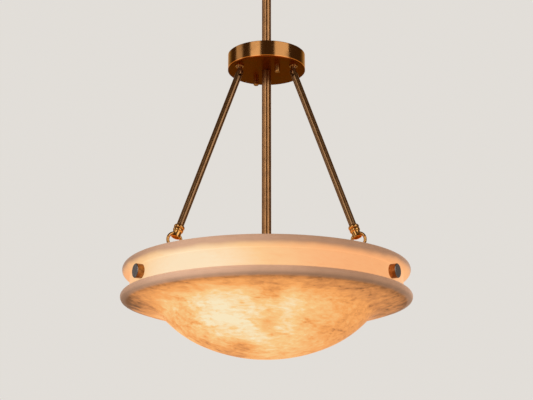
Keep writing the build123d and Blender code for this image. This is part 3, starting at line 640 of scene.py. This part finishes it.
def metal(name, tint, worn, roughness, way=None, width=None, turned=0.0, patina=0.5, edge=None, coat=0.0):
    """Brushed or turned metal with a cloudy patina, and a warm glow on the edge at that height."""
    values = settings().metal
    finish = Finish(name)
    lines = brushed_lines(finish, way, width or values.brushing)
    bloom = finish.noise(finish.place, *BLOOM_NOISE)
    age = finish.total(finish.grade(bloom, BLOOM_AGE, 0.0, patina), finish.around(lines, LINE_TINT))
    finish.set(
        Base_Color=finish.mix(age, tuple(tint), tuple(worn)),
        Metallic=1.0,
        Roughness=finish.total(
            finish.around(lines, LINE_ROUGHNESS),
            finish.grade(bloom, BLOOM_ROUGH, 0.0, BLOOM_ROUGHNESS),
            roughness,
        ),
        Specular_Tint=tuple(values.glance),
        Coat_Weight=coat,
        Coat_Roughness=0.24,
        Anisotropic=turned,
        Anisotropic_Rotation=0.25,
    )
    if turned:
        finish.set(Tangent=finish.add("Tangent", direction_type="RADIAL", axis="Z").outputs[0])
    if edge is not None:
        z = finish.round_stem(finish.place)[2]
        finish.set(
            Emission_Color=tuple(values.warm_edge),
            Emission_Strength=finish.grade(z, (edge + EDGE_TOP, edge + EDGE_FULL), 0.0, EDGE_GLOW),
        )
    return finish.material


def brass(name, way=None, **options):
    """The pendant's lacquered brass, brushed along a direction or turned."""
    values = settings().metal
    return metal(
        name, values.brass, values.aged, values.brass_roughness, way, coat=values.lacquer, **options
    )


def moulded(name, tint, roughness, grain, coat=0.0):
    """Moulded or glazed material with a fine grain and faint mottling."""
    finish = Finish(name)
    fine = finish.noise(finish.place, grain, MOULDED_DETAIL)
    broad = finish.noise(finish.place, MOTTLING_SCALE, MOULDED_DETAIL)
    darker = tuple(MOTTLING_SHADE * channel for channel in tint)
    finish.set(
        Base_Color=finish.mix(finish.grade(broad, MOTTLING_EDGE), tuple(tint), darker),
        Roughness=finish.total(finish.around(fine, GRAIN_ROUGHNESS), roughness),
        Coat_Weight=coat,
        Coat_Roughness=0.08,
    )
    finish.bump(fine, GRAIN_RELIEF, FINE_DEPTH)
    return finish.material


class PENDANT_OT_stems(bpy.types.Operator):
    """Finishes the stems and the nipples that join them"""

    bl_idname = "pendant.stems"
    bl_label = "Stems"

    def execute(self, context):
        values = settings().metal
        dress(["upper_stem", "lower_stem"], brass("stem_brass", UP))
        threaded = metal("threaded_brass", values.aged, values.brass, roughness=0.38, width=0.0012)
        dress(["stem_nipple", "hub_nipple", "cluster_nipple", "socket_nipples"], threaded)
        return {"FINISHED"}


class PENDANT_OT_hub(bpy.types.Operator):
    """Finishes the hub, its cover and what hangs under it"""

    bl_idname = "pendant.hub"
    bl_label = "Hub"

    def execute(self, context):
        values = settings().metal
        hub_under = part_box("hub_housing")[0].z
        side = metal("hub_brass", values.brass, values.aged, roughness=0.20, turned=0.75, edge=hub_under)
        dress(["hub_housing"], side)
        dress(["hub_cover"], metal("underlit_brass", values.glowing, values.aged, roughness=0.34))
        turned = metal("turned_brass", values.polished, values.aged, roughness=0.24)
        dress(["hub_cover_nuts", "rod_ferrules"], turned)
        dress(["rod_stubs", "hub_cover_studs"], brass("stub_brass", UP))
        return {"FINISHED"}


def rod_way(side):
    """Direction of a slanting rod, from its top end to its bottom end."""
    rod = "suspension_rod_" + side
    low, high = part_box(rod)
    points = [vertex.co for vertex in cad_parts[rod].data.vertices]
    top = [point for point in points if point.z > high.z - ROD_END]
    bottom = [point for point in points if point.z < low.z + ROD_END]
    return (sum(bottom, Vector()) / len(bottom) - sum(top, Vector()) / len(top)).normalized()


class PENDANT_OT_rods(bpy.types.Operator):
    """Finishes the slanting rods, their end fittings and the hanging rings"""

    bl_idname = "pendant.rods"
    bl_label = "Suspension Rods"

    def execute(self, context):
        values = settings().metal
        for side in SIDES:
            way = rod_way(side)
            # The rods' brass is the darker copy, painted shade on the slanting rods
            rod = metal(
                "shaded_rod_brass_" + side,
                values.rod,
                values.aged,
                values.brass_roughness,
                way,
                coat=values.lacquer,
            )
            dress(["suspension_rod_" + side], rod)
            polished = metal(
                "polished_brass_" + side,
                values.polished,
                values.aged,
                roughness=0.17,
                way=way,
                width=values.turning,
                patina=0.35,
            )
            dress(["rod_tip_" + side, "hanging_ring_" + side, "rod_pin_" + side], polished)
        return {"FINISHED"}


def knob_metal(side):
    """Aged brass sides and a face turned in circles, grey as a painted reflection of the room, on one knob.
    """
    values = settings().metal
    knob = "bowl_knob_" + side
    middle, way = outward(knob)
    face = farthest(knob, way)
    finish = Finish("knob_brass_" + side)
    outwards = finish.add("VectorMath", {0: finish.place, 1: tuple(way)}, operation="DOT_PRODUCT")
    on_face = finish.grade(outwards.outputs["Value"], (face - FACE_START, face - FACE_FULL))
    level = (0.0, 0.0, middle.z)
    offset = finish.add("VectorMath", {0: finish.place, 1: level}, operation="SUBTRACT").outputs[0]
    off_axis = finish.add("VectorMath", {0: offset, 1: tuple(way)}, operation="CROSS_PRODUCT").outputs[0]
    wobble = finish.times(finish.noise(off_axis, *CIRCLE_NOISE), CIRCLE_WOBBLE)
    circles = finish.math("SINE", finish.times(finish.total(finish.distance(off_axis), wobble), CIRCLES))
    bloom = finish.noise(finish.place, *KNOB_NOISE)
    sides = finish.mix(finish.grade(bloom, KNOB_AGE), tuple(values.brass), tuple(values.aged))
    finish.set(
        # The face's grey is a painted reflection of the room
        Base_Color=finish.mix(on_face, sides, tuple(values.knob_face_reflection)),
        Metallic=1.0,
        Roughness=finish.total(
            finish.times(on_face, FACE_ROUGHNESS),
            finish.around(bloom, KNOB_BLOOM_ROUGHNESS),
            KNOB_ROUGHNESS,
        ),
    )
    finish.bump(finish.times(circles, on_face), CIRCLE_RELIEF, FINE_DEPTH)
    return finish.material


class PENDANT_OT_brackets(bpy.types.Operator):
    """Finishes the brackets that carry the bowl and the knobs outside it"""

    bl_idname = "pendant.brackets"
    bl_label = "Brackets and Knobs"

    def execute(self, context):
        values = settings().metal
        hardware = settings().hardware
        bracket = metal("bracket_brass", values.polished, values.aged, roughness=0.30, width=values.turning)
        dress(["bowl_bracket_" + side for side in SIDES] + ["knob_washers"], bracket)
        for side in SIDES:
            dress(["bowl_knob_" + side], knob_metal(side))
        zinc = metal("bracket_zinc", hardware.zinc, hardware.dark_zinc, roughness=0.36, width=0.0010)
        dress(["knob_bolts", "bracket_nuts"], zinc)
        dress(["bracket_pads"], moulded("pad_rubber", hardware.rubber, roughness=0.78, grain=900.0))
        return {"FINISHED"}


class PENDANT_OT_ceiling(bpy.types.Operator):
    """Finishes the canopy, the swivel that it hides and the hardware in the hub"""

    bl_idname = "pendant.ceiling"
    bl_label = "Canopy and Swivel"

    def execute(self, context):
        values = settings().metal
        hardware = settings().hardware
        dress(["canopy"], brass("canopy_brass", turned=0.75))
        dress(["canopy_nuts"], metal("canopy_nut_brass", values.polished, values.aged, roughness=0.24))
        zinc = metal(
            "zinc_plate", hardware.zinc, hardware.dull_zinc, roughness=0.38, way=ALONG_X, width=0.0010
        )
        dress(["ceiling_crossbar", "canopy_studs", "swivel_socket_screws", "hub_spider"], zinc)
        nuts = metal("nut_zinc", hardware.zinc, hardware.dull_zinc, roughness=0.32, width=0.0010)
        dress(["hub_lock_nuts", "rod_stub_nuts"], nuts)
        aged = metal("swivel_brass", values.aged, values.brass, roughness=0.36, width=values.turning)
        dress(["swivel_socket", "swivel_ball"], aged)
        green = metal(
            "ground_green", hardware.green, hardware.dark_green, roughness=0.42, width=values.turning
        )
        dress(["ground_screw"], green)
        dress(["swivel_liner"], moulded("liner_nylon", hardware.nylon, roughness=0.46, grain=700.0))
        plastic = moulded("terminal_plastic", hardware.plastic, roughness=0.40, grain=800.0)
        dress(["terminal_block"], plastic)
        return {"FINISHED"}


# ------------------------------------------------------------------ lamps

# A globe shines less towards its cap: distances from the ball's centre, and the share left there
BALL_SHINE = (0.072, 0.030)
CAP_SHARE = 0.35
# The frost on a globe: its noise, and how much it changes the light and the roughness
FROST_NOISE = (600.0, 3.0)
FROST_LIGHT = 0.05
FROST_ROUGHNESS = 0.08
GLOBE_ROUGHNESS = 0.45


def frosted_glow(lamp):
    """Frosted glass that shines, less towards the cap than round the ball."""
    values = settings().lamps
    finish = Finish("lamp_glass_" + lamp)
    from_ball = finish.distance(finish.place, tuple(lamp_ball(lamp)))
    frost = finish.noise(finish.place, *FROST_NOISE)
    shine = finish.grade(from_ball, BALL_SHINE, CAP_SHARE, 1.0)
    frosted = finish.total(finish.around(frost, FROST_LIGHT), 1.0)
    finish.set(
        Base_Color=tuple(values.glass),
        Emission_Color=finish.dimmed(tuple(values.glow), finish.times(shine, frosted)),
        Emission_Strength=values.glow_strength,
        Roughness=finish.total(finish.around(frost, FROST_ROUGHNESS), GLOBE_ROUGHNESS),
    )
    return finish.material


class PENDANT_OT_lamps(bpy.types.Operator):
    """Finishes the lamp cluster, the holders and the globes"""

    bl_idname = "pendant.lamps"
    bl_label = "Lamp Cluster"

    def execute(self, context):
        values = settings().lamps
        dress(["cluster_body", "cluster_lid", "cluster_finial"], brass("cluster_brass", turned=0.5))
        glazed = moulded("porcelain", values.porcelain, roughness=0.22, grain=500.0, coat=0.6)
        cap = metal("lamp_cap_metal", values.cap, values.dull_cap, roughness=0.28, width=0.0010)
        for lamp in LAMPS:
            dress(["lamp_socket_" + lamp], glazed)
            dress(["bulb_cap_" + lamp], cap)
            dress(["bulb_globe_" + lamp], frosted_glow(lamp))
        return {"FINISHED"}


# ------------------------------------------------------------------ stage

# The point that the soft boxes face
LIGHTS_AIM = Vector((0.0, 0.0, -0.45))
# How straight to the back a mirrored direction points where the dim room ends and the pale starts
PALE_BACK = (0.50, 0.92)
# How much of the floor's colour is plain background, which shows no shadow, for the camera
PLAIN_FLOOR = 0.8


def soft_light(name, bearing, distance, z, size, strength, gloss_only=False):
    """A soft box at a bearing in degrees from the front. Its strength sets its face's brightness."""
    light = bpy.data.lights.new(name, "AREA")
    light.shape = "RECTANGLE"
    light.size, light.size_y = size
    light.energy = strength * pi * size[0] * size[1]
    box = bpy.data.objects.new(name, light)
    bpy.context.scene.collection.objects.link(box)
    turn = radians(bearing)
    box.location = (distance * sin(turn), -distance * cos(turn), z)
    box.rotation_euler = (LIGHTS_AIM - box.location).to_track_quat("-Z", "Y").to_euler()
    box.visible_camera = False
    box.visible_diffuse = not gloss_only


def stage_background(studio):
    """A pale world. The metal mirrors it pale at the back, and dim beside and behind the camera."""
    world = bpy.data.worlds.new("studio")
    bpy.context.scene.world = world
    nodes = Nodes(world)
    path = nodes.add("LightPath").outputs
    way = nodes.add("TexCoord").outputs["Generated"]
    backward = nodes.add("SeparateXYZ", {"Vector": way}).outputs["Y"]
    pale = tuple(studio.pale)
    mirrored = nodes.mix(nodes.grade(backward, PALE_BACK), tuple(studio.dim_room), pale)
    around = tuple(studio.ambient * channel for channel in pale)
    lighting = nodes.mix(path["Is Glossy Ray"], around, mirrored)
    direct = nodes.math("MAXIMUM", path["Is Camera Ray"], path["Is Transmission Ray"])
    nodes.feed(nodes.tree.nodes["Background"].inputs["Color"], nodes.mix(direct, lighting, pale))


def stage_floor(studio):
    """A round pale floor that shows a soft shadow from above and is clear from below."""
    bpy.ops.mesh.primitive_circle_add(
        vertices=96, radius=studio.floor_radius, fill_type="NGON", location=(0, 0, -studio.ceiling_height)
    )
    floor = bpy.context.object
    floor.name = "studio_floor"
    finish = Finish("floor")
    finish.set(Base_Color=tuple(studio.pale), Roughness=0.9)
    seen = finish.add("Emission", {"Color": tuple(studio.pale), "Strength": 1.0}).outputs[0]
    plain = finish.times(finish.add("LightPath").outputs["Is Camera Ray"], PLAIN_FLOOR)
    lit = finish.add("MixShader", {0: plain, 1: finish.shader.outputs[0], 2: seen}).outputs[0]
    clear = finish.add("BsdfTransparent").outputs[0]
    under = finish.add("NewGeometry").outputs["Backfacing"]
    both = finish.add("MixShader", {0: under, 1: lit, 2: clear}).outputs[0]
    finish.feed(finish.tree.nodes["Material Output"].inputs["Surface"], both)
    floor.data.materials.append(finish.material)


def stage_camera(studio):
    """The camera at the photograph's viewing angle."""
    camera = bpy.data.objects.new("camera", bpy.data.cameras.new("camera"))
    bpy.context.scene.collection.objects.link(camera)
    camera.data.lens = studio.lens
    camera.data.sensor_width = 36.0
    camera.location = (0.0, -studio.camera_distance, -studio.camera_drop)
    camera.rotation_euler = (radians(90) + studio.camera_pitch, 0.0, 0.0)
    bpy.context.scene.camera = camera


class PENDANT_OT_stage(bpy.types.Operator):
    """Sets the camera, the soft lights, the floor and the pale background"""

    bl_idname = "pendant.stage"
    bl_label = "Studio"

    def execute(self, context):
        studio = settings().studio
        stage_camera(studio)
        context.scene.view_settings.view_transform = "Standard"
        soft_light("key_left", bearing=-33, distance=3.0, z=0.35, size=(1.5, 2.6), strength=1.7)
        soft_light("key_right", bearing=46, distance=3.0, z=0.35, size=(2.3, 2.6), strength=1.5)
        soft_light(
            "side_left", bearing=-88, distance=2.8, z=0.30, size=(1.2, 2.4), strength=0.9, gloss_only=True
        )
        stage_background(studio)
        stage_floor(studio)
        return {"FINISHED"}


# ------------------------------------------------------------------ panel and start

OPERATORS = (
    PENDANT_OT_bowl,
    PENDANT_OT_stems,
    PENDANT_OT_hub,
    PENDANT_OT_rods,
    PENDANT_OT_brackets,
    PENDANT_OT_ceiling,
    PENDANT_OT_lamps,
    PENDANT_OT_stage,
)


class PENDANT_PT_tools(bpy.types.Panel):
    """Lists the steps that finish the pendant, and its settings"""

    bl_idname = "PENDANT_PT_tools"
    bl_label = "Bowl Pendant"
    bl_space_type = "VIEW_3D"
    bl_region_type = "UI"
    bl_category = "Pendant"

    def draw(self, context):
        for operator in OPERATORS:
            self.layout.operator(operator.bl_idname)
        for group in PendantSettings.__annotations__:
            values = getattr(context.scene.pendant, group)
            box = self.layout.box()
            for name in values.__annotations__:
                box.prop(values, name)


CLASSES = (
    PendantStone,
    PendantMetal,
    PendantHardware,
    PendantLamps,
    PendantStudio,
    PendantSettings,
    *OPERATORS,
    PENDANT_PT_tools,
)


def register():
    for cls in CLASSES:
        bpy.utils.register_class(cls)
    bpy.types.Scene.pendant = bpy.props.PointerProperty(type=PendantSettings)


def unregister():
    del bpy.types.Scene.pendant
    for cls in reversed(CLASSES):
        bpy.utils.unregister_class(cls)


def main():
    """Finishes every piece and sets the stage."""
    register()
    for operator in OPERATORS:
        group, name = operator.bl_idname.split(".")
        getattr(getattr(bpy.ops, group), name)()


if __name__ == "__main__":
    main()
